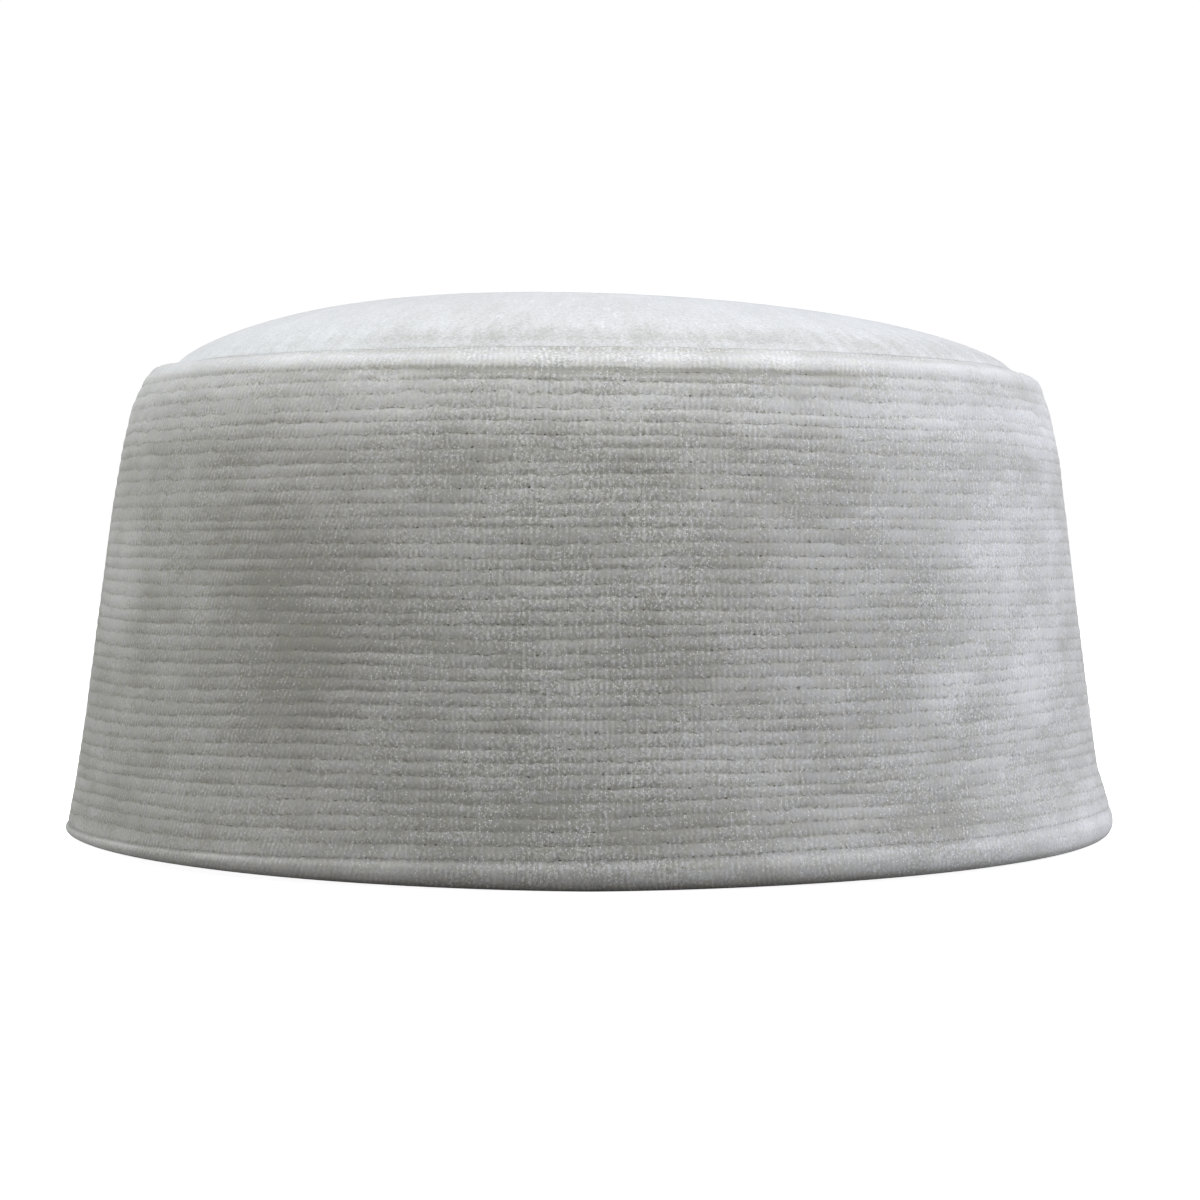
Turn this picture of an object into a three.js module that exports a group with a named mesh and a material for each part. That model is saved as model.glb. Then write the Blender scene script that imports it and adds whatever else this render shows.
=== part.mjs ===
// A kufi: a stiff, brimless round cap of white velvet, standing on its own rim.
//
// It is sewn from two pieces of cloth. The side band is a tapering wall of padded velvet, closely stitched
// round and round, so that it rises in fine ribs between a plain rolled hem and a plain rolled shoulder.
// The crown is a domed panel of plain velvet, let in behind the shoulder. The cap is hollow and open below.
//
// Units are millimetres. The origin is the centre of the rim on the surface that the cap stands on, +Z is up,
// and the wearer faces -Y. Every piece is turned as a round shape, then settled into the cap's real one.

import * as THREE from "three";

// The cap's size
const HEAD_SIZE = 600; // round the inside of the rim
const HEM_THICKNESS = 4.0;
const RIM_RADIUS = HEAD_SIZE / (2 * Math.PI) + HEM_THICKNESS;
const OVAL = 0.046; // longer than round by this share from front to back, and narrower across
const SIDES = 48; // facets round the cap

// The outside of the band's wall, from the hem up over the shoulder. Inset is how far it has leaned in from
// the widest point of the rim.
const WALL_SECTIONS = [
  { height: 3.0, inset: 0.0 },
  { height: 7.4, inset: 0.9 },
  { height: 15.4, inset: 2.5 },
  { height: 31.4, inset: 4.8 },
  { height: 47.5, inset: 6.9 },
  { height: 63.6, inset: 9.1 },
  { height: 74.4, inset: 11.1 },
  { height: 79.8, inset: 12.7 },
  { height: 82.2, inset: 14.1 },
  { height: 83.5, inset: 15.7 },
  { height: 84.0, inset: 17.1 },
];
const WALL = 2.8; // thickness of the padded band, at a rib

// Rows of stitching, which sink grooves into the padded wall and leave ribs between them
const STITCH_ROWS = 37;
const FIRST_ROW = 5.1; // height of the lowest row
const LAST_ROW = 80.2;
const ROW_PITCH = (LAST_ROW - FIRST_ROW) / (STITCH_ROWS - 1);
const GROOVE_DEPTH = 0.5;

// The rolled hem
const HEM_ROUNDING = 2.8; // outer lower corner
const HEM_INNER_ROUNDING = 0.5;
const HEM_TOP = 4.3; // height where the roll turns in to the first row
const ROUNDING_STEPS = 3;

// The crown panel, and its seam behind the shoulder
const CROWN_RADIUS = 81.0;
const CROWN_EDGE = 83.4; // height of the panel's edge
const CROWN_RISE = 14.0; // from the edge to the top of the dome
const CROWN_THICKNESS = 2.2;
const CROWN_FLATNESS = 2.6; // over 2, the dome is flatter in the middle than a paraboloid
const CROWN_FULLNESS = 0.7; // under 1, it springs up steeply from the seam
const CROWN_RINGS = [0.22, 0.42, 0.6, 0.74, 0.85, 0.93, 0.98]; // shares of the radius
const CROWN_SAG = 2.2; // the dome has sunk towards +X, and stands up as much towards -X
const SEAM_GAP = 0.3;
const LIP_DEPTH = 2.2; // how deep the shoulder turns down at the seam

// The cap isn't sewn quite level. Tilt is how far a row of stitching, or the seam, rises at the +X side.
const TILTS = [
  { height: 0, tilt: 0 },
  { height: FIRST_ROW, tilt: 1.6 },
  { height: LAST_ROW, tilt: -0.95 },
  { height: CROWN_EDGE, tilt: -0.5 },
];

// The wall's inset at a height, smooth through the rows of the table
function wallInset(height) {
  const rows = WALL_SECTIONS;
  const last = rows.length - 1;
  const above = rows.findIndex((row) => row.height >= height);
  const i = THREE.MathUtils.clamp(above - 1, 0, last - 1);
  const slope = (j) => {
    const below = rows[Math.max(j - 1, 0)];
    const next = rows[Math.min(j + 1, last)];
    return (next.inset - below.inset) / (next.height - below.height);
  };
  const span = rows[i + 1].height - rows[i].height;
  const t = (height - rows[i].height) / span;
  const fromBelow = rows[i].inset + slope(i) * span * t;
  const fromAbove = rows[i + 1].inset - slope(i + 1) * span * (1 - t);
  return THREE.MathUtils.lerp(fromBelow, fromAbove, THREE.MathUtils.smoothstep(t, 0, 1));
}

// A point of the band's profile at a height, some way in from the outside of the wall
function wallPoint(height, depth = 0) {
  return new THREE.Vector2(RIM_RADIUS - wallInset(height) - depth, height);
}

// Points of a quarter round about a centre, from one direction to another, both ends included
function rounding(centre, radius, fromDegrees, toDegrees) {
  const points = [];
  for (let i = 0; i <= ROUNDING_STEPS; i++) {
    const degrees = THREE.MathUtils.lerp(fromDegrees, toDegrees, i / ROUNDING_STEPS);
    const angle = THREE.MathUtils.degToRad(degrees);
    const arm = new THREE.Vector2(Math.cos(angle), Math.sin(angle)).multiplyScalar(radius);
    points.push(arm.add(centre));
  }
  return points;
}

// The stitched part of the wall: each row is a groove, with the crest of a rib between it and the next
function ribbedWall() {
  const points = [];
  for (let row = 0; row < STITCH_ROWS; row++) {
    const height = FIRST_ROW + row * ROW_PITCH;
    if (row > 0) points.push(wallPoint(height - ROW_PITCH / 2));
    points.push(wallPoint(height, GROOVE_DEPTH));
  }
  return points;
}

// The plain shoulder rolls over from the last row to the seam, and turns down behind it
function shoulder() {
  const roll = WALL_SECTIONS.filter(({ height }) => height > LAST_ROW);
  const seamRadius = CROWN_RADIUS + SEAM_GAP;
  return [
    ...roll.map(({ height }) => wallPoint(height)),
    new THREE.Vector2(seamRadius, CROWN_EDGE),
    new THREE.Vector2(seamRadius, CROWN_EDGE - LIP_DEPTH),
  ];
}

// The plain inside of the band, from the shoulder down to the hem
function innerWall() {
  const sections = WALL_SECTIONS.filter(({ height }) => height > FIRST_ROW && height < LAST_ROW);
  return sections.reverse().map(({ height }) => wallPoint(height, WALL));
}

function bandProfile() {
  const outerCentre = new THREE.Vector2(RIM_RADIUS - HEM_ROUNDING, HEM_ROUNDING);
  const innerCentre = new THREE.Vector2(
    RIM_RADIUS - HEM_THICKNESS + HEM_INNER_ROUNDING,
    HEM_INNER_ROUNDING,
  );
  const profile = [
    ...rounding(outerCentre, HEM_ROUNDING, -90, 0),
    wallPoint(HEM_TOP),
    ...ribbedWall(),
    ...shoulder(),
    ...innerWall(),
    ...rounding(innerCentre, HEM_INNER_ROUNDING, 180, 270),
  ];
  return [...profile, profile[0].clone()];
}

// One face of the dome, from the middle out to its edge
function domeFace(radius, edgeHeight) {
  const rise = (share) => (1 - share ** CROWN_FLATNESS) ** CROWN_FULLNESS;
  const shares = [0, ...CROWN_RINGS, 1];
  return shares.map((share) => new THREE.Vector2(radius * share, edgeHeight + CROWN_RISE * rise(share)));
}

function crownProfile() {
  const under = domeFace(CROWN_RADIUS - CROWN_THICKNESS, CROWN_EDGE - CROWN_THICKNESS);
  const corner = new THREE.Vector2(CROWN_RADIUS, CROWN_EDGE - CROWN_THICKNESS);
  const top = domeFace(CROWN_RADIUS, CROWN_EDGE);
  return [...under, corner, ...top.reverse()];
}

// How far the cloth rises at a height, for a point right at the +X side
function tiltAt(height) {
  const above = TILTS.findIndex((row) => row.height >= height);
  if (above < 0) return TILTS.at(-1).tilt;
  if (above === 0) return TILTS[0].tilt;
  const from = TILTS[above - 1];
  const to = TILTS[above];
  return THREE.MathUtils.mapLinear(height, from.height, to.height, from.tilt, to.tilt);
}

// How far the dome has sunk at a point
function sagAt(x, y) {
  const share = Math.hypot(x, y) / CROWN_RADIUS;
  return CROWN_SAG * (x / CROWN_RADIUS) * Math.max(1 - share ** 2, 0);
}

// Turns a round lathed shape into the cap's own, which is oval and a little out of level
function settle(geometry, isCrown = false) {
  const position = geometry.getAttribute("position");
  for (let i = 0; i < position.count; i++) {
    const x = position.getX(i);
    const y = position.getY(i);
    const height = position.getZ(i);
    const raise = (tiltAt(height) * x) / RIM_RADIUS;
    const sag = isCrown ? sagAt(x, y) : 0;
    position.setXYZ(i, x * (1 - OVAL), y * (1 + OVAL), height + raise - sag);
  }
  geometry.computeVertexNormals();
  return geometry;
}

function lathed(profile) {
  return new THREE.LatheGeometry(profile, SIDES).rotateX(Math.PI / 2);
}

function named(name, geometry, material) {
  const mesh = new THREE.Mesh(geometry, material);
  mesh.name = name;
  return mesh;
}

const ribbedVelvet = new THREE.MeshStandardMaterial({ color: 0xd3d4d2, roughness: 0.92, metalness: 0 });
const crownVelvet = new THREE.MeshStandardMaterial({ color: 0xdedfe0, roughness: 0.88, metalness: 0 });

const kufi = new THREE.Group();
kufi.add(named("side_band", settle(lathed(bandProfile())), ribbedVelvet));
kufi.add(named("crown_panel", settle(lathed(crownProfile()), true), crownVelvet));

export default kufi;
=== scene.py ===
"""A white velvet kufi, dressed over its CAD frame: a closely stitched side band, its thread and a domed crown.

Lengths are in millimetres until a mesh is made, and in metres in Blender. Each piece is made as a round shape,
then settled into the cap's real one, which is oval and a little out of level.
"""

import math

import bpy
import numpy as np
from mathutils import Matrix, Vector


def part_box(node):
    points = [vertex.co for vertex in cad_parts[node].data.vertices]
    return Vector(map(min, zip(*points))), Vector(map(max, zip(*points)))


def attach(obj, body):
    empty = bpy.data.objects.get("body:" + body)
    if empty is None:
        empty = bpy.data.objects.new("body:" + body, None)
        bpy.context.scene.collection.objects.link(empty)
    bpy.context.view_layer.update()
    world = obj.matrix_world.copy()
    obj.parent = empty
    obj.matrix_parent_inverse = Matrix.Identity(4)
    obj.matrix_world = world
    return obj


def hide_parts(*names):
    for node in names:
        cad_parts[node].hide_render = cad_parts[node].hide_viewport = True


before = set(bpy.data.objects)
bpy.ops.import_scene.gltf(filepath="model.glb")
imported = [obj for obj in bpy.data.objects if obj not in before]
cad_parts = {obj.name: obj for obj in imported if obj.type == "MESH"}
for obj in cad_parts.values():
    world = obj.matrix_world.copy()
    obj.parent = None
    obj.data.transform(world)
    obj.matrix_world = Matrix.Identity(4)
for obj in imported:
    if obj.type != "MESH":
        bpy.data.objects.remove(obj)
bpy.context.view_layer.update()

MM = 0.001
SEED = 20
BACK = math.pi / 2  # directions round the cap
FRONT = 1.5 * math.pi

# The cap's shape, as in the CAD model

band_low, band_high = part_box("side_band")
HALF_ACROSS = (band_high.x - band_low.x) / 2 / MM
HALF_ALONG = (band_high.y - band_low.y) / 2 / MM
RIM_RADIUS = (HALF_ACROSS + HALF_ALONG) / 2
OVAL = (HALF_ALONG - HALF_ACROSS) / (HALF_ALONG + HALF_ACROSS)

# The outside of the band's wall: height, and how far it has leaned in from the rim
WALL_SECTIONS = [
    (3.0, 0.0),
    (7.4, 0.9),
    (15.4, 2.5),
    (31.4, 4.8),
    (47.5, 6.9),
    (63.6, 9.1),
    (74.4, 11.1),
    (79.8, 12.7),
    (82.2, 14.1),
    (83.5, 15.7),
    (84.0, 17.1),
]
WALL = 2.8  # thickness of the padded band
HEM_THICKNESS = 4.0
HEM_INNER_ROUNDING = 0.5

STITCH_ROWS = 37
FIRST_ROW = 5.1  # its height
LAST_ROW = 80.2
ROW_PITCH = (LAST_ROW - FIRST_ROW) / (STITCH_ROWS - 1)

CROWN_RADIUS = 81.0
CROWN_EDGE = 83.4
CROWN_RISE = 14.0
CROWN_THICKNESS = 2.2
CROWN_FLATNESS = 2.6
CROWN_FULLNESS = 0.7
CROWN_SAG = 2.2
LIP_DEPTH = 2.2  # how deep the shoulder turns down at the seam

# Height, and how far the cloth rises there at the +X side
TILTS = [(0.0, 0.0), (FIRST_ROW, 1.6), (LAST_ROW, -0.95), (CROWN_EDGE, -0.5)]

# Finer shape than the CAD model has

HEM_ROUNDING = 2.5
SEAM_GAP = 0.04

# The shoulder's roll, from the last row over to the seam: height and inset
SHOULDER_ROLL = [
    (80.5, 13.0),
    (80.9, 13.14),
    (81.3, 13.34),
    (81.7, 13.63),
    (82.1, 14.04),
    (82.5, 14.68),
    (82.85, 15.45),
    (83.1, 16.3),
    (83.22, 17.2),
    (83.27, 17.6),
    (83.38, 18.0),
    (83.53, 18.3),
    (83.72, 18.55),
]
SHOULDER_FUZZ = 0.05
LIP_RADII = [80.74, 80.86, 80.96]  # the thin lip that lies on the crown's edge, from its tip back under it

# Height, and how far the wall has slumped in there at the -X side and at the +X side
SLUMPS = [
    (0.0, 0.4, -0.4),
    (12.0, 0.15, 0.8),
    (20.0, 0.2, 0.6),
    (44.0, 0.45, 0.5),
    (60.0, 0.7, 0.35),
    (68.0, 1.0, 0.1),
    (76.0, 1.15, 0.05),
    (79.5, 1.6, 0.0),
    (82.0, 2.0, 0.0),
    (84.0, 2.0, 0.0),
]
HEM_LIFTS = (1.7, 1.3)  # how far the rim rises off the floor at the -X side and at the +X side
SHOULDER_LIFT = 0.9  # how far the shoulder and the crown's edge rise at either side
SHOULDER_HUMP = 1.6  # how far more the middle of the shoulder rises at the -X side
SHOULDER_HUMP_AT = (82.95, 0.5)  # its height and spread

COLUMNS = 540  # round the band
GROOVE_DEPTH = 0.09
GROOVE_UNEVENNESS = 0.2
# Where grooves are deeper or shallower: half turns from the front, half width, and by what share
TOP_GROOVES = (0.1, 0.45, 0.9)  # only near the top
SIDE_GROOVES = (0.3, 0.4, -0.35)
RIB_STEPS = [0.2, 0.5, 0.8]  # where a rib has points, as shares of its height
RIB_FULLNESS = 1.3  # over 1, a rib rises gently from its grooves
RIB_GAPS = (1.35, 2.9)  # the narrowest and widest rib
RIB_PUFFS = (0.03, 0.07)  # how unevenly the ribs are padded, and how much more so near the top
CROWN_COLUMNS = 360
CROWN_RINGS = 64
PUCKER = 0.22  # height of the crown's puckers at its seam
PUCKER_REACH = 5.0

# How far the rows of stitching stray: each as a whole, in waves with its neighbours, in waves of its own, in
# short shakes, and how much more it shakes near the top
ROW_OFFSET = 0.1
ROW_WAVES_TOGETHER = 0.16
ROW_WAVES_ALONE = 0.09
ROW_SHAKES = (0.07, 0.08)
LAST_ROW_DIP = 0.7  # how far the last row of stitching dips at the front
LAST_ROW_DIP_SPREAD = 0.4

STITCHES = 280  # in each row
STITCH_DRIFT = 0.35  # how many stitches a row gets ahead or behind
THREAD_RADIUS = 0.15
THREAD_SIDES = 3
THREAD_STEPS = 3  # along each stitch
THREAD_SINKS = (0.42, 0.12)  # how far below its groove the thread lies, at a needle hole and between
THREAD_SLACK = 0.02


def hump(value, middle, spread):
    """A smooth hump, 1 high, about a middle."""
    return np.exp(-(((value - middle) / spread) ** 2))


def wall_inset(height):
    """How far the wall has leaned in at a height, smooth through the rows of the table."""
    heights, insets = np.array(WALL_SECTIONS).T
    last = len(heights) - 1
    below = np.maximum(np.arange(last + 1) - 1, 0)
    above = np.minimum(np.arange(last + 1) + 1, last)
    slopes = (insets[above] - insets[below]) / (heights[above] - heights[below])
    i = np.clip(np.searchsorted(heights, height) - 1, 0, last - 1)
    span = heights[i + 1] - heights[i]
    t = (height - heights[i]) / span
    from_below = insets[i] + slopes[i] * span * t
    from_above = insets[i + 1] - slopes[i + 1] * span * (1 - t)
    t = np.clip(t, 0, 1)
    share = t * t * (3 - 2 * t)
    return from_below + (from_above - from_below) * share


def settle(radius, theta, height, crown=False):
    """Points of the cap's real shape, in metres, from round ones in millimetres."""
    x = radius * np.cos(theta)
    y = radius * np.sin(theta)
    side = x / RIM_RADIUS
    heights, tilts = np.array(TILTS).T
    z = height + np.interp(height, heights, tilts) * side
    at_left, at_right = HEM_LIFTS
    lift = np.abs(np.cos(theta)) ** 1.2 * (at_left * (1 - side) + at_right * (1 + side)) / 2
    z = z + lift * np.maximum(1 - height / FIRST_ROW, 0)
    z = z + SHOULDER_LIFT * side**4 * np.clip((height - LAST_ROW) / 2, 0, 1)
    z = z + SHOULDER_HUMP * np.maximum(-side, 0) ** 4 * hump(height, *SHOULDER_HUMP_AT)
    heights, at_left, at_right = np.array(SLUMPS).T
    x = x + np.interp(height, heights, at_left) * (1 - side) / 2
    x = x - np.interp(height, heights, at_right) * (1 + side) / 2
    if crown:
        share = radius / CROWN_RADIUS
        z = z - CROWN_SAG * (x / CROWN_RADIUS) * np.maximum(1 - share**2, 0)
    return np.stack([x * (1 - OVAL), y * (1 + OVAL), z], axis=-1) * MM


def round_the_cap(columns):
    """Directions round the cap, from its back over its left, front and right to its back again."""
    return BACK + math.tau * np.arange(columns + 1) / columns


def dome_height(share):
    """Height of the crown's top at a share of its radius."""
    return CROWN_EDGE + CROWN_RISE * (1 - share**CROWN_FLATNESS) ** CROWN_FULLNESS


class Wander:
    """Smooth random lines round the cap, one for each row, with a spread of about 1."""

    def __init__(self, rng, rows, waves, spread_over=0.0):
        self.waves = np.arange(waves[0], waves[1] + 1)
        cosines = rng.normal(size=(rows, len(self.waves)))
        sines = rng.normal(size=(rows, len(self.waves)))
        if spread_over:
            apart = np.arange(rows)[:, None] - np.arange(rows)[None, :]
            weights = np.exp(-0.5 * (apart / spread_over) ** 2)
            weights /= np.sqrt((weights**2).sum(1, keepdims=True))
            cosines = weights @ cosines
            sines = weights @ sines
        self.cosines = cosines / math.sqrt(len(self.waves))
        self.sines = sines / math.sqrt(len(self.waves))

    def at(self, theta):
        angles = self.waves[:, None] * theta[None, :]
        return self.cosines @ np.cos(angles) + self.sines @ np.sin(angles)


class Stitching:
    """Where the rows of stitching run, and where their needle holes are."""

    def __init__(self, rng):
        edges = np.minimum(np.arange(STITCH_ROWS), np.arange(STITCH_ROWS)[::-1])
        self.freedom = np.clip((edges + 1) / 3, 0, 1)[:, None]
        self.offset = ROW_OFFSET * rng.normal(size=(STITCH_ROWS, 1))
        self.together = Wander(rng, STITCH_ROWS, (2, 9), spread_over=2.5)
        self.alone = Wander(rng, STITCH_ROWS, (3, 12))
        self.shaky = Wander(rng, STITCH_ROWS, (25, 100))
        self.shift = np.cumsum(rng.uniform(-0.5, 0.5, size=(STITCH_ROWS, 1)), axis=0)
        self.stride = Wander(rng, STITCH_ROWS, (3, 20), spread_over=1.5)

    def heights(self, theta):
        """Height of each row at each direction."""
        level = np.linspace(FIRST_ROW, LAST_ROW, STITCH_ROWS)[:, None]
        near_top = np.exp(-(STITCH_ROWS - 1 - np.arange(STITCH_ROWS)) / 4)[:, None]
        wander = self.offset + ROW_WAVES_TOGETHER * self.together.at(theta)
        wander = wander + ROW_WAVES_ALONE * self.alone.at(theta)
        wander = wander + (ROW_SHAKES[0] + ROW_SHAKES[1] * near_top) * self.shaky.at(theta)
        heights = level + wander * self.freedom
        heights[-1] -= LAST_ROW_DIP * hump(theta, FRONT, LAST_ROW_DIP_SPREAD)
        gaps = np.clip(np.diff(heights, axis=0), *RIB_GAPS)
        gaps *= (heights[-1] - heights[0]) / gaps.sum(0)
        return np.vstack([heights[:1], heights[0] + np.cumsum(gaps, axis=0)])

    def stitches(self, theta):
        """How many stitches each row has had at each direction. A needle hole is where this is whole."""
        turned = (theta - BACK) / math.tau
        return STITCHES * turned[None, :] + self.shift + STITCH_DRIFT * self.stride.at(theta)


def rounding(centre, radius, start, end, steps):
    """Radii and heights of points on a round, between two directions in degrees."""
    angles = np.radians(np.linspace(start, end, steps))
    return np.stack([centre[0] + radius * np.cos(angles), centre[1] + radius * np.sin(angles)], axis=1)


def grid_faces(rows, columns, wrap_rows, first=0):
    """Quads of a grid of points that wraps round the cap, and also over its rows if wrap_rows."""
    lower = np.arange(rows if wrap_rows else rows - 1)
    upper = (lower + 1) % rows
    left = np.arange(columns)
    right = (left + 1) % columns
    corners = [
        lower[:, None] * columns + left,
        lower[:, None] * columns + right,
        upper[:, None] * columns + right,
        upper[:, None] * columns + left,
    ]
    return first + np.stack(corners, axis=-1).reshape(-1, 4)


def grid_uvs(u, v):
    """The same quads' corners in a map, from grids of one more row and column."""
    grid = np.stack(np.broadcast_arrays(u, v), axis=-1)
    corners = [grid[:-1, :-1], grid[:-1, 1:], grid[1:, 1:], grid[1:, :-1]]
    return np.stack(corners, axis=2).reshape(-1, 2)


def make_piece(name, points, faces, maps, material, node):
    """A piece of the cap from its points, lists of faces, and maps of each face's corners."""
    mesh = bpy.data.meshes.new(name)
    mesh.from_pydata(points.tolist(), [], [face for group in faces for face in group.tolist()])
    for map_name, uvs in maps.items():
        layer = mesh.uv_layers.new(name=map_name)
        layer.data.foreach_set("uv", np.asarray(uvs, np.float32).ravel())
    mesh.shade_smooth()
    mesh.materials.append(material)
    mesh.validate()
    piece = bpy.data.objects.new(name, mesh)
    bpy.context.scene.collection.objects.link(piece)
    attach(piece, "root")
    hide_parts(node)
    return piece


def round_each_row(points):
    """Distance of each point from the cap's front, along its own row, in millimetres."""
    steps = np.linalg.norm(np.diff(points, axis=1), axis=2) / MM
    lengths = np.cumsum(np.pad(steps, ((0, 0), (1, 0))), axis=1)
    return lengths - lengths[:, lengths.shape[1] // 2, None]


def along_profile(radius, height):
    """Distance along a profile up to each of its rows, in millimetres."""
    steps = np.hypot(np.diff(radius, axis=0), np.diff(height, axis=0)).mean(1)
    return np.concatenate([[0], np.cumsum(steps)])


def make_band(stitching, rng, material):
    """The side band: a hem, 36 ribs between the stitched rows, a shoulder, and a plain inside.

    Each ring of its points has a count, which is whole at a row of stitching. It runs on below the first row
    over the hem, and above the last one over the shoulder and down the inside, so the material knows the parts.
    """
    theta = round_the_cap(COLUMNS)
    rows = stitching.heights(theta)
    last = STITCH_ROWS - 1
    radii, heights, counts = [], [], []

    def add(radius, height, count):
        radii.append(np.broadcast_to(radius, theta.shape))
        heights.append(np.broadcast_to(height, theta.shape))
        counts.append(count)

    # The hem, from its narrow underside out and up to the first row
    corner = rounding((RIM_RADIUS - HEM_ROUNDING, HEM_ROUNDING), HEM_ROUNDING, -90, 0, 8)
    for i, (radius, height) in enumerate(corner):
        add(radius, height, -3 + i * 0.25)
    for share, sink in ((0.35, 0.0), (0.65, 0.08), (0.86, 0.26)):
        height = HEM_ROUNDING + share * (rows[0] - HEM_ROUNDING)
        add(RIM_RADIUS - wall_inset(height) * share - sink, height, -1.25 + share * 1.1)

    # The ribs
    depth = GROOVE_DEPTH * (1 + GROOVE_UNEVENNESS * Wander(rng, STITCH_ROWS, (4, 40)).at(theta))
    near_top = np.exp(-np.arange(STITCH_ROWS)[::-1] / 3)[:, None]
    puff = RIB_PUFFS[0] * Wander(rng, STITCH_ROWS, (3, 30), spread_over=0.8).at(theta)
    puff = puff + RIB_PUFFS[1] * near_top * Wander(rng, STITCH_ROWS, (20, 90)).at(theta)
    for (turned, width, share), where in ((TOP_GROOVES, near_top), (SIDE_GROOVES, 1)):
        depth = depth * (1 + share * where * hump(theta, FRONT + turned * math.pi, width))
    for row in range(STITCH_ROWS):
        add(RIM_RADIUS - wall_inset(rows[row]) - depth[row], rows[row], row)
        if row == last:
            break
        for share in RIB_STEPS:
            height = rows[row] + share * (rows[row + 1] - rows[row])
            rise = math.sin(math.pi * share) ** RIB_FULLNESS
            hollow = depth[row] + share * (depth[row + 1] - depth[row])
            radius = RIM_RADIUS - wall_inset(height) - hollow * (1 - rise) + puff[row] * rise
            add(radius, height, row + share)

    # The shoulder rolls over to the seam and turns down behind it
    for i, (height, inset) in enumerate(SHOULDER_ROLL):
        held = 1 - i / len(SHOULDER_ROLL)
        fuzz = SHOULDER_FUZZ * rng.normal(size=COLUMNS) * math.sin(math.pi * held)
        height = height + (rows[last] - LAST_ROW) * held + np.append(fuzz, fuzz[0])
        add(RIM_RADIUS - inset, height, last + 0.15 + 0.2 * i)
    for i, radius in enumerate(LIP_RADII):
        add(radius, dome_height(radius / CROWN_RADIUS) + SEAM_GAP, last + 2.75 + 0.05 * i)
    seam = CROWN_RADIUS + SEAM_GAP
    add(seam, CROWN_EDGE, last + 2.9)
    add(seam, CROWN_EDGE - LIP_DEPTH, last + 3)

    # The plain inside, down to the hem
    for i, (height, inset) in enumerate(reversed(WALL_SECTIONS)):
        if FIRST_ROW < height < LAST_ROW:
            add(RIM_RADIUS - inset - WALL, height, last + 4 + i)
    inner = (RIM_RADIUS - HEM_THICKNESS + HEM_INNER_ROUNDING, HEM_INNER_ROUNDING)
    for i, (radius, height) in enumerate(rounding(inner, HEM_INNER_ROUNDING, 180, 270, 3)):
        add(radius, height, last + 14 + i)

    radius, height = np.array(radii), np.array(heights)
    grid = settle(radius, theta, height)
    points = grid[:, :-1].reshape(-1, 3)
    faces = grid_faces(len(radii), COLUMNS, wrap_rows=True)

    # The profile closes on its own first ring
    path = along_profile(np.vstack([radius, radius[:1]]), np.vstack([height, height[:1]]))[:, None]
    around = round_each_row(np.vstack([grid, grid[:1]]))
    by_row = np.clip(counts + [counts[-1]], 0, last)
    low = np.floor(by_row).astype(int)
    share = (by_row - low)[:, None]
    stitched = stitching.stitches(theta)
    stitch = stitched[low] * (1 - share) + stitched[np.minimum(low + 1, last)] * share
    maps = {
        "OFBake": grid_uvs((np.arange(COLUMNS + 1) / COLUMNS)[None, :], path / path[-1]),
        "Stitch": grid_uvs(stitch, np.array(counts + [counts[-1] + 1])[:, None]),
        "Cloth": grid_uvs(around, path),
    }
    band = make_piece("band_velvet", points, [faces], maps, material, "side_band")


def make_thread(stitching, rng, material):
    """The thread: a closed loop for each row, which dips into the cloth at each needle hole."""
    step = np.arange(STITCHES * THREAD_STEPS + 1)
    columns = len(step) - 1
    fine = round_the_cap(STITCHES * 12)
    points, faces, bake, twist = [], [], [], []
    slack = rng.normal(size=STITCH_ROWS) * THREAD_SLACK
    for row in range(STITCH_ROWS):
        # The loop starts at the row's first whole stitch, and runs on past the back to close
        counted = stitching.stitches(fine)[row]
        wanted = math.ceil(counted[0]) + step / THREAD_STEPS
        wrapped = np.interp(wanted - STITCHES, counted, fine) + math.tau
        theta = np.where(wanted > counted[-1], wrapped, np.interp(wanted, counted, fine))
        height = stitching.heights(theta)[row]
        sink = GROOVE_DEPTH + slack[row] + np.where(step % THREAD_STEPS == 0, *THREAD_SINKS)
        radius = RIM_RADIUS - wall_inset(height) - sink
        tube = []
        for side in range(THREAD_SIDES):
            angle = math.tau * (side + 0.5) / THREAD_SIDES - math.pi
            out, up = THREAD_RADIUS * math.cos(angle), THREAD_RADIUS * math.sin(angle)
            tube.append(settle(radius + out, theta, height + up)[:-1])
        points.append(np.array(tube).reshape(-1, 3))
        faces.append(grid_faces(THREAD_SIDES, columns, wrap_rows=True, first=row * THREAD_SIDES * columns))
        along = (step / columns)[None, :]
        across = (np.arange(THREAD_SIDES + 1) / THREAD_SIDES)[:, None]
        bake.append(grid_uvs(along, (row + 0.05 + 0.9 * across) / STITCH_ROWS))
        twist.append(grid_uvs(along * STITCHES, across))
    maps = {"OFBake": np.concatenate(bake), "Thread": np.concatenate(twist)}
    make_piece("band_stitching", np.concatenate(points), faces, maps, material, "side_band")


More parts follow.
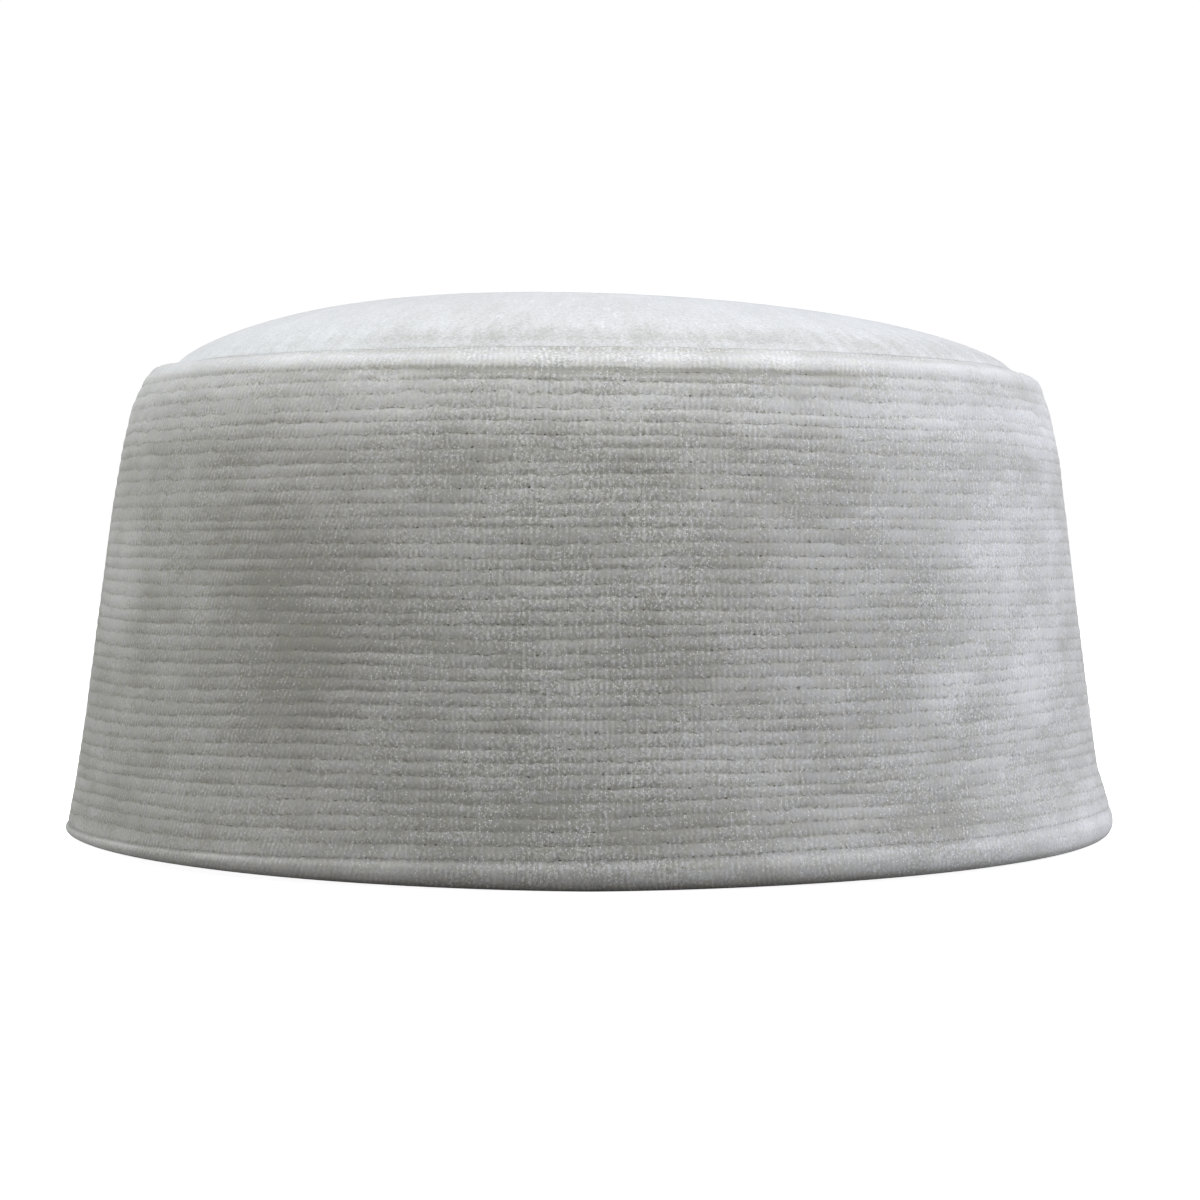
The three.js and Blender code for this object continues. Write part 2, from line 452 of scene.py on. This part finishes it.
def make_crown(rng, material):
    """The crown: a closed domed panel, let in behind the shoulder."""
    theta = round_the_cap(CROWN_COLUMNS)
    pucker = PUCKER * Wander(rng, 1, (40, 110)).at(theta)[0]

    def face(radius, edge, shares, puckered):
        shares = shares[:, None]
        near_seam = hump((1 - shares) * CROWN_RADIUS, 0, PUCKER_REACH) * np.sqrt(1 - shares**4)
        height = dome_height(shares) + edge - CROWN_EDGE + puckered * pucker * near_seam
        return np.broadcast_to(radius * shares, height.shape), height

    # Rings from near the middle of the underside out to the edge, and over the top to near its middle
    under_edge = CROWN_EDGE - CROWN_THICKNESS
    shares = np.sin(np.linspace(0, math.pi / 2, CROWN_RINGS + 1)[1:])
    under_radius, under_height = face(CROWN_RADIUS - CROWN_THICKNESS, under_edge, shares[3::4], 0)
    top_radius, top_height = face(CROWN_RADIUS, CROWN_EDGE, shares[::-1], 1)
    edge = np.ones((1, len(theta)))
    radius = np.vstack([under_radius, edge * CROWN_RADIUS, top_radius])
    height = np.vstack([under_height, edge * under_edge, top_height])
    rings = len(radius)
    points = settle(radius, theta, height, crown=True)[:, :-1].reshape(-1, 3)
    tips = settle(np.zeros(2), np.zeros(2), np.array([under_edge, CROWN_EDGE]) + CROWN_RISE, crown=True)
    faces = [grid_faces(rings, CROWN_COLUMNS, wrap_rows=False)]

    # The underside is laid out flat on the right of the map, and the top and its edge on the left
    reach = 0.23 * radius[:, :1] / CROWN_RADIUS
    edge_row = len(under_radius)
    under_reach, top_reach = reach[: edge_row + 1], reach[edge_row:].copy()
    top_reach[0] = 0.24
    flat = [
        grid_uvs(middle + part * np.cos(theta), 0.5 + 2 * part * np.sin(theta))
        for middle, part in ((0.75, under_reach), (0.25, top_reach))
    ]
    cloth = [grid_uvs(np.zeros(CROWN_COLUMNS + 1), radius[:, :1])]

    # A fan of triangles closes each side at its middle
    column = np.arange(CROWN_COLUMNS)
    for tip, ring, middle, sides in ((0, 0, 0.75, (1, 0)), (1, rings - 1, 0.25, (0, 1))):
        corners = [np.full(CROWN_COLUMNS, len(points) + tip)]
        corners += [ring * CROWN_COLUMNS + (column + side) % CROWN_COLUMNS for side in sides]
        faces.append(np.stack(corners, axis=1))
        u, v = [np.full(CROWN_COLUMNS, middle)], [np.full(CROWN_COLUMNS, 0.5)]
        u += [middle + reach[ring, 0] * np.cos(theta[column + side]) for side in sides]
        v += [0.5 + 2 * reach[ring, 0] * np.sin(theta[column + side]) for side in sides]
        flat.append(np.stack([u, v], axis=-1).swapaxes(0, 1).reshape(-1, 2))
        cloth.append(np.tile([0.0, radius[ring, 0]], (3 * CROWN_COLUMNS, 1)))
    maps = {"OFBake": np.concatenate(flat), "Cloth": np.concatenate(cloth)}
    points = np.concatenate([points, tips])
    make_piece("crown_velvet", points, faces, maps, material, "crown_panel")


# Materials

# Dark and light pile, and the same where it is cooler
BAND_SHADES = [(0.40, 0.399, 0.367, 1), (0.74, 0.747, 0.752, 1)]
BAND_COOLER = [(0.39, 0.393, 0.382, 1), (0.735, 0.747, 0.777, 1)]
# Painted glints of the band's fibre tips catching the light
BAND_GLINT = (0.95, 0.98, 1.0, 1)
# Painted shade in a needle hole
NEEDLE_HOLE_SHADE = (0.10, 0.075, 0.055, 1)
# Painted shade under the hem
HEM_UNDERSIDE_SHADE = (0.2, 0.205, 0.22, 1)
CROWN_SHADES = [(0.45, 0.455, 0.44, 1), (0.74, 0.755, 0.785, 1)]
# Painted glints of the crown's fibre tips catching the light
CROWN_GLINT = (0.88, 0.88, 0.89, 1)
THREAD_SHADES = [(0.46, 0.44, 0.38, 1), (0.66, 0.65, 0.60, 1)]
# Painted shade on the thread where it goes into a needle hole
THREAD_HOLE_SHADE = (0.16, 0.13, 0.10, 1)

WALE_PITCH = 0.92  # the fine vertical ribs of the cloth
THREAD_TWISTS = 9  # in each stitch
PILE_RELIEF = 0.1
THREAD_RELIEF = 0.04

# Where the pile is brushed darker or lighter: distance from the front, row, half sizes in mm and rows, strength
BRUSHED = [
    (-50.0, 17.0, 28.0, 13.0, -0.42),
    (-105.0, 21.0, 26.0, 10.0, 0.5),
    (-8.0, 2.5, 50.0, 5.0, -0.3),
    (60.0, 1.5, 20.0, 4.5, -0.35),
    (88.0, 11.5, 18.0, 6.0, 0.4),
    (64.0, 11.5, 12.0, 3.5, 0.45),
    (84.0, 22.0, 34.0, 10.0, 0.3),
    (8.0, 14.5, 14.0, 4.0, -0.2),
    (20.0, 6.8, 20.0, 4.0, 0.35),
]


class Nodes:
    """Short ways to add nodes to a tree. A value is a number, a tuple or another node's output."""

    def __init__(self, tree):
        self.tree = tree

    def add(self, kind, inputs=(), **settings):
        node = self.tree.nodes.new(kind)
        for key, value in settings.items():
            setattr(node, key, value)
        for key, value in dict(inputs).items():
            self.feed(node.inputs[key], value)
        return node

    def feed(self, socket, value):
        if isinstance(value, bpy.types.NodeSocket):
            self.tree.links.new(value, socket)
        else:
            socket.default_value = value

    def math(self, operation, first, *others):
        """The operation on the values, two at a time where there are more."""
        if len(others) > 1:
            return self.math(operation, self.math(operation, first, others[0]), *others[1:])
        node = self.add("ShaderNodeMath", enumerate((first, *others)), operation=operation)
        return node.outputs[0]

    def times(self, *values):
        return self.math("MULTIPLY", *values)

    def sum(self, *terms):
        """The sum of terms. A term (factor, value) is their product, and (factor, value, middle) is the factor
        times value less middle."""
        total = 0.0
        for term in terms:
            if isinstance(term, tuple):
                factor, value, *middle = term
                if middle:
                    value = self.math("SUBTRACT", value, *middle)
                term = self.times(value, factor)
            total = self.math("ADD", total, term)
        return total

    def less(self, share, where):
        """1, but less by a share in so far as where is 1."""
        return self.sum(1.0, (-share, where))

    def vector(self, operation, *values, scale=None):
        inputs = dict(enumerate(values))
        if scale is not None:
            inputs["Scale"] = scale
        node = self.add("ShaderNodeVectorMath", inputs, operation=operation)
        return node.outputs["Value" if operation == "LENGTH" else "Vector"]

    def step(self, value, start, end, low=0.0, high=1.0):
        """A smooth step of value between start and end, from low to high."""
        inputs = {"Value": value, "From Min": start, "From Max": end, "To Min": low, "To Max": high}
        return self.add("ShaderNodeMapRange", inputs, interpolation_type="SMOOTHSTEP").outputs["Result"]

    def noise(self, place, size, detail=2.0, roughness=0.5):
        """Noise round 0.5 with features of about this size."""
        inputs = {"Vector": place, "Scale": 1 / size, "Detail": detail, "Roughness": roughness}
        return self.add("ShaderNodeTexNoise", inputs).outputs["Fac"]

    def random(self, place):
        """A random number from 0 to 1 for each whole place."""
        return self.add("ShaderNodeTexWhiteNoise", {"Vector": place}, noise_dimensions="3D").outputs["Value"]

    def combine(self, x, y=0.0, z=0.0):
        return self.add("ShaderNodeCombineXYZ", {0: x, 1: y, 2: z}).outputs[0]

    def split(self, vector):
        return self.add("ShaderNodeSeparateXYZ", {0: vector}).outputs

    def map(self, name):
        """A UV map's two coordinates."""
        node = self.add("ShaderNodeUVMap", uv_map=name)
        return self.split(node.outputs[0])[:2]

    def place(self):
        """The point on the piece, in millimetres."""
        return self.vector("SCALE", self.add("ShaderNodeTexCoord").outputs["Object"], scale=1 / MM)

    def mix(self, share, first, second):
        node = self.add("ShaderNodeMix", data_type="RGBA")
        self.feed(node.inputs["Factor"], share)
        self.feed(next(s for s in node.inputs if s.identifier == "A_Color"), first)
        self.feed(next(s for s in node.inputs if s.identifier == "B_Color"), second)
        return next(s for s in node.outputs if s.identifier == "Result_Color")


def new_material(name, roughness, sheen, sheen_roughness):
    material = bpy.data.materials.new(name)
    material.use_nodes = True
    nodes = Nodes(material.node_tree)
    shader = material.node_tree.nodes["Principled BSDF"]
    nodes.feed(shader.inputs["Roughness"], roughness)
    nodes.feed(shader.inputs["Specular IOR Level"], 0.25)
    nodes.feed(shader.inputs["Sheen Weight"], sheen)
    nodes.feed(shader.inputs["Sheen Roughness"], sheen_roughness)
    return material, nodes, shader


def add_bump(nodes, shader, height, distance):
    bump = nodes.add("ShaderNodeBump", {"Height": height, "Distance": distance, "Strength": 1.0})
    nodes.feed(shader.inputs["Normal"], bump.outputs[0])


def specks(nodes, place, size, share, patches):
    """Spots in a share of the cells of this size, more of them where patches is high.
    They serve as painted glints, where fibre tips catch the light, and as the crown's dashes.
    """
    cells = nodes.add("ShaderNodeTexVoronoi", {"Vector": place, "Scale": 1 / size, "Randomness": 1.0})
    spot = nodes.step(cells.outputs["Distance"], 0.5, 0.22)
    chance = nodes.split(cells.outputs["Color"])[0]
    lit = nodes.step(nodes.sum(chance, -1.0, (share, patches)), 0.0, 0.06)
    return nodes.times(spot, lit)


def pile(nodes, place, size, stretch):
    """Fine grain of the pile, from -0.5 to 0.5: tufts of their own brightness, longer upwards by stretch."""
    tufts = nodes.vector("MULTIPLY", place, (1.0, 1.0, 1 / stretch))
    cells = nodes.add("ShaderNodeTexVoronoi", {"Vector": tufts, "Scale": 1 / size, "Randomness": 1.0})
    return nodes.sum(nodes.split(cells.outputs["Color"])[0], -0.5)


def brushed(nodes, around, row):
    """How much darker or lighter the pile is for the way it is brushed."""
    total = 0.0
    for middle, middle_row, half, half_rows, strength in BRUSHED:
        across = nodes.math("DIVIDE", nodes.math("SUBTRACT", around, middle), half)
        up = nodes.math("DIVIDE", nodes.math("SUBTRACT", row, middle_row), half_rows)
        reach = nodes.vector("LENGTH", nodes.combine(across, up))
        total = nodes.math("ADD", total, nodes.step(reach, 0.0, 1.0, strength, 0.0))
    return total


def velvet_band():
    material, nodes, shader = new_material("velvet_band", 0.85, 0.35, 0.35)
    calc, times, less, noise, step = nodes.math, nodes.times, nodes.less, nodes.noise, nodes.step
    place = nodes.place()
    around, along = nodes.map("Cloth")
    stitch, count = nodes.map("Stitch")

    # The nearest row of stitching, and how far a point is above it
    last = STITCH_ROWS - 1.0
    row = calc("ROUND", calc("MINIMUM", calc("MAXIMUM", count, 0.0), last))
    off = times(calc("SUBTRACT", count, row), ROW_PITCH)

    # Which part of the cap a point is on
    to_left = nodes.sum(step(around, -10.0, -60.0), (-1.0, step(around, -180.0, -260.0)))
    to_right = nodes.sum(step(around, 20.0, 60.0), (-1.0, step(around, 180.0, 260.0)))
    at_front = nodes.sum(1.0, (-1.0, to_left), (-1.0, to_right))
    off_middle = step(calc("ABSOLUTE", around), 5.0, 32.0, 1.0, 0.7)

    # The pile has vertical wales that lean in places, grain and mottle, each stronger in places
    calm = step(calc("ABSOLUTE", calc("SUBTRACT", around, 37.0)), 0.0, 26.0, 0.75, 1.0)
    rough = times(step(noise(place, 7.0), 0.33, 0.66, 0.35, 1.0), less(0.15, to_left), off_middle, calm)
    sway = noise(nodes.combine(around, along, times(row, 7.0)), 8.0, 1.0)
    lean = nodes.sum((0.8, noise(place, 9.0, 1.0), 0.5), (-0.45, to_left))
    wale = calc("SINE", nodes.sum((math.tau / WALE_PITCH, around), (5.0, sway, 0.5), (6.8, times(lean, off))))
    crest = step(wale, -0.6, 0.8, 0.6, 1.25)
    tufts = pile(nodes, place, 0.28, 1.3)
    grain = times(rough, crest, tufts)
    mottle = times(rough, nodes.sum(noise(place, 0.55, 2.0, 0.6), -0.5))

    # The rows of stitching waver, and the pile stands over them. Just above each row, where the rib above turns
    # under, a patchy band of painted shade is laid. The painted shade of the rows shows less at the right and
    # on the left of the first row, and more lower down
    waver = noise(nodes.combine(around, times(row, 9.0)), 1.4)
    ragged = nodes.sum(off, (0.9, waver, 0.5), (0.6, noise(place, 0.8), 0.5), (0.07, wale), (0.25, tufts))
    uneven_shade = step(noise(nodes.combine(around, times(row, 40.0)), 4.0), 0.35, 0.68, 0.35, 1.0)
    shown = times(
        nodes.sum(step(around, 40.0, 90.0, 1.0, 0.75), step(around, 95.0, 140.0, 0.0, 0.25)),
        less(0.6, times(to_left, step(count, 1.4, 0.6))),
        step(count, 30.0, 14.0, 1.0, 1.35),
    )
    crease_shade = times(step(ragged, 0.85, 0.05), step(ragged, -0.3, 0.05), uneven_shade, shown, off_middle)

    # Thin dashes of painted shade lie along the grooves, and some needle holes get dots of painted shade
    dashes = step(noise(nodes.combine(around, times(row, 23.0)), 1.0, 1.0), 0.44, 0.64)
    groove_line_shade = times(step(calc("ABSOLUTE", ragged), 0.22, 0.03), dashes, shown)
    hole = calc("ROUND", stitch)
    beside = times(calc("SUBTRACT", stitch, hole), math.tau * RIM_RADIUS / STITCHES)
    reach = nodes.vector("LENGTH", nodes.combine(calc("DIVIDE", beside, 0.34), calc("DIVIDE", off, 0.2)))
    luck = calc("POWER", nodes.random(nodes.combine(hole, row)), 4.5)
    needle = times(step(reach, 1.0, 0.3), luck, nodes.sum(0.5, (0.5, at_front)))

    # Painted light and shade by height: it is painted lighter below the last rows, along the shoulder and on
    # the hem, and painted darker, as shade, round the last row, over the shoulder's top and under the hem
    near_last = times(step(count, last - 0.5, last - 0.1), step(count, last + 0.5, last + 0.2))
    painted_light_and_shade = nodes.sum(
        (0.44, step(count, last - 6.5, last - 2.2)),
        (-0.3, times(step(count, last - 2.6, last - 0.7), less(0.6, to_left))),
        (-0.55, times(near_last, at_front)),
        (0.07, step(count, last + 0.1, last + 0.6)),
        (-0.32, step(count, last + 1.1, last + 1.7)),
        (0.05, step(count, last + 1.8, last + 2.3)),
        (0.2, step(count, 0.9, 0.1)),
        (-0.4, step(count, -1.6, -2.3)),
    )

    # Broad patches, and each rib has a tone of its own, which changes slowly along it
    patches = noise(place, 16.0, 3.0, 0.6)
    rib = calc("FLOOR", calc("MINIMUM", count, last))
    rib_tone = noise(nodes.combine(times(around, 0.08), times(rib, 3.7)), 1.0)
    wale = times(wale, step(noise(place, 1.8), 0.35, 0.7), off_middle, nodes.sum(0.9, (-0.3, to_right)))

    tone = nodes.sum(
        0.4,
        painted_light_and_shade,
        brushed(nodes, around, count),
        (0.7, patches, 0.5),
        (0.8, rib_tone, 0.5),
        (0.95, grain),
        (1.1, mottle),
        (0.24, wale),
        (-0.2, crease_shade),
        (-0.5, groove_line_shade),
    )
    tint = step(noise(place, 1.6, 1.0), 0.35, 0.65)
    colour = nodes.mix(tint, nodes.mix(tone, *BAND_SHADES), nodes.mix(tone, *BAND_COOLER))
    # Dark dots of painted shade in some needle holes
    colour = nodes.mix(needle, colour, NEEDLE_HOLE_SHADE)
    # The hem's underside is painted darker: painted shade
    colour = nodes.mix(step(count, -1.6, -2.7, 0.0, 0.4), colour, HEM_UNDERSIDE_SHADE)
    # Painted glints: bright fibre tips catching the light, fewer towards the top and on the left
    fewer = times(step(count, last + 0.5, last - 4.0, 0.35, 1.0), less(0.55, to_left))
    tips = specks(nodes, place, 0.3, 0.36, times(rough, crest, fewer))
    colour = nodes.mix(times(tips, 0.8), colour, BAND_GLINT)
    nodes.feed(shader.inputs["Base Color"], colour)
    relief = nodes.sum(
        0.5,
        (0.5, grain),
        (0.5, mottle),
        (0.15, wale),
        (-0.3, crease_shade),
        (-0.5, groove_line_shade),
        (-0.6, needle),
    )
    add_bump(nodes, shader, relief, PILE_RELIEF * MM)
    return material


def velvet_crown():
    material, nodes, shader = new_material("velvet_crown", 0.85, 0.5, 0.35)
    times, noise, step = nodes.times, nodes.noise, nodes.step
    place = nodes.place()
    from_middle = nodes.map("Cloth")[1]
    x, y = nodes.split(place)[:2]

    # Strokes of the brush run out from the middle
    outward = nodes.vector("NORMALIZE", nodes.combine(x, y))
    x_round, y_round = nodes.split(nodes.vector("SCALE", outward, scale=CROWN_RADIUS))[:2]
    strokes = noise(nodes.combine(x_round, y_round, times(from_middle, 0.3)), 3.0, 3.0, 0.6)
    streaks = times(step(strokes, 0.32, 0.68), step(from_middle, 5.0, 50.0))

    # The pile is brushed up away from the seam, so it is duller and warmer in an uneven strip beside it. Right
    # at
    # the seam it is painted lighter: painted light over the shade of the seam's fold
    to_seam = nodes.sum(CROWN_RADIUS, (-1.0, from_middle))
    width = step(x, -58.0, -12.0, 2.0, 9.0)
    brushed_up = nodes.sum(to_seam, (1.6, times(width, nodes.sum(strokes, -0.5))))
    lifted = step(nodes.math("DIVIDE", brushed_up, width), -0.1, 1.0)
    painted_seam_light = times(step(to_seam, 2.2, 0.3), step(x, 20.0, 60.0, 1.0, 0.4))

    patches = noise(place, 10.0, 3.0, 0.6)
    grain = pile(nodes, place, 0.3, 1.0)
    mottle = nodes.sum(noise(place, 0.6, 2.0, 0.6), -0.5)
    dashes = specks(nodes, nodes.combine(x_round, y_round, times(from_middle, 0.2)), 0.8, 0.2, 1.0)
    tone = nodes.sum(
        0.17,
        (0.32, lifted),
        (0.42, painted_seam_light),
        (0.16, streaks, 0.5),
        (0.26, patches, 0.5),
        # Painted light: the crown is painted lighter towards its -X side
        (0.38, step(x, -7.0, -75.0)),
        (0.46, grain),
        (0.6, mottle),
        (0.26, times(dashes, lifted)),
    )
    # Painted glints of fibre tips catching the light
    tips = specks(nodes, place, 0.34, 0.3, patches)
    colour = nodes.mix(times(tips, 0.4), nodes.mix(tone, *CROWN_SHADES), CROWN_GLINT)
    nodes.feed(shader.inputs["Base Color"], colour)
    add_bump(nodes, shader, nodes.sum(0.5, (0.5, grain), (0.5, mottle)), PILE_RELIEF * MM)
    return material


def stitching_thread():
    material, nodes, shader = new_material("stitching_thread", 0.6, 0.1, 0.4)
    along, across = nodes.map("Thread")
    from_hole = nodes.math("ABSOLUTE", nodes.math("SUBTRACT", along, nodes.math("ROUND", along)))
    near_hole = nodes.step(from_hole, 0.42, 0.12)
    ply = nodes.math("SINE", nodes.sum((THREAD_TWISTS * math.tau, along), (math.tau, across)))
    tone = nodes.sum(0.5, (0.2, ply), (0.8, nodes.noise(nodes.place(), 3.0), 0.5))
    # The thread is painted darker near each needle hole: painted shade in the hole
    colour = nodes.mix(near_hole, nodes.mix(tone, *THREAD_SHADES), THREAD_HOLE_SHADE)
    nodes.feed(shader.inputs["Base Color"], colour)
    add_bump(nodes, shader, ply, THREAD_RELIEF * MM)
    return material


# The studio

CAMERA = (0.0, -0.5814, 0.05165)
CAMERA_TARGET = (0.00215, 0.0, 0.0428)
CAMERA_LENS = 94.86
CAMERA_SENSOR = 36

BACKDROP = (1.02, 1.02, 1.02, 1)
SKY_LIGHT = (0.467, 0.432, 0.454)
LAMPS = [  # name, place, side, watts in each colour
    ("over", (0.0, 0.0, 0.35), 0.25, (0.505, 0.549, 0.609)),
    ("overfront", (0.0, -0.22, 0.32), 0.2, (0.329, 0.343, 0.299)),
    ("overleft", (-0.22, -0.1, 0.32), 0.2, (0.057, 0.048, 0.038)),
    ("right", (0.5, -0.1, 0.3), 0.3, (0.258, 0.126, 0.17)),
    ("frontright", (0.35, -0.4, 0.35), 0.3, (0.36, 0.432, 0.447)),
    ("rightlow", (0.45, 0.0, 0.1), 0.2, (0.84, 0.909, 0.961)),
    ("leftlow", (-0.45, 0.05, 0.1), 0.2, (0.439, 0.469, 0.419)),
    ("overclose", (0.0, -0.16, 0.2), 0.15, (0.035, 0.03, 0.029)),
]
LAMP_TARGET = (0, 0, 0.05)

FLOOR_REACH = 3.0
BOUNCE_DEPTH = 0.0002  # how far below the floor


def put(thing, place, target):
    """Puts a camera or lamp at a place, turned to a target."""
    thing.location = place
    aim = Vector(target) - thing.location
    thing.rotation_euler = aim.to_track_quat("-Z", "Y").to_euler()
    bpy.context.scene.collection.objects.link(thing)


def make_camera():
    data = bpy.data.cameras.new("camera")
    data.lens = CAMERA_LENS
    data.sensor_width = CAMERA_SENSOR
    camera = bpy.data.objects.new("camera", data)
    put(camera, CAMERA, CAMERA_TARGET)
    bpy.context.scene.camera = camera


def make_sky():
    """The camera sees plain white, and the cap is lit by soft light from above."""
    world = bpy.data.worlds.new("studio")
    bpy.context.scene.world = world
    world.use_nodes = True
    nodes = Nodes(world.node_tree)
    direction = nodes.add("ShaderNodeTexCoord").outputs["Generated"]
    upward = nodes.math("MAXIMUM", nodes.split(direction)[2], 0.0)
    light = nodes.vector("SCALE", SKY_LIGHT, scale=upward)
    is_camera = nodes.add("ShaderNodeLightPath").outputs["Is Camera Ray"]
    background = world.node_tree.nodes["Background"]
    nodes.feed(background.inputs["Color"], nodes.mix(is_camera, light, BACKDROP))


def make_lamps():
    for name, place, side, colour in LAMPS:
        data = bpy.data.lights.new(name, "AREA")
        data.size = side
        data.energy = 1.0
        data.color = colour
        lamp = bpy.data.objects.new(name, data)
        lamp.visible_camera = False
        put(lamp, place, LAMP_TARGET)


def make_plane(name, level, colour, glow):
    mesh = bpy.data.meshes.new(name)
    corners = [(-1, -1), (1, -1), (1, 1), (-1, 1)]
    mesh.from_pydata([(x * FLOOR_REACH, y * FLOOR_REACH, level) for x, y in corners], [], [(0, 1, 2, 3)])
    material = bpy.data.materials.new(name)
    material.use_nodes = True
    shader = material.node_tree.nodes["Principled BSDF"]
    shader.inputs["Base Color"].default_value = (*colour, 1)
    shader.inputs["Roughness"].default_value = 1.0
    shader.inputs["Specular IOR Level"].default_value = 0.0
    shader.inputs["Emission Color"].default_value = (1, 1, 1, 1)
    shader.inputs["Emission Strength"].default_value = glow
    mesh.materials.append(material)
    plane = bpy.data.objects.new(name, mesh)
    bpy.context.scene.collection.objects.link(plane)
    return plane


def make_floor():
    """A plain white floor for the camera, and under it a greyer one that throws soft light up on the cap."""
    floor = make_plane("floor", 0.0, (0.9, 0.9, 0.9), 0.95)
    floor.visible_diffuse = False
    floor.visible_glossy = False
    bounce = make_plane("floor_bounce", -BOUNCE_DEPTH, (0.55, 0.55, 0.53), 0.0)
    bounce.visible_camera = False
    bounce.visible_shadow = False


bpy.context.scene.view_settings.view_transform = "Standard"
make_camera()
make_sky()
make_lamps()
make_floor()

rng = np.random.default_rng(SEED)
stitching = Stitching(rng)
make_band(stitching, rng, velvet_band())
make_thread(stitching, rng, stitching_thread())
make_crown(rng, velvet_crown())
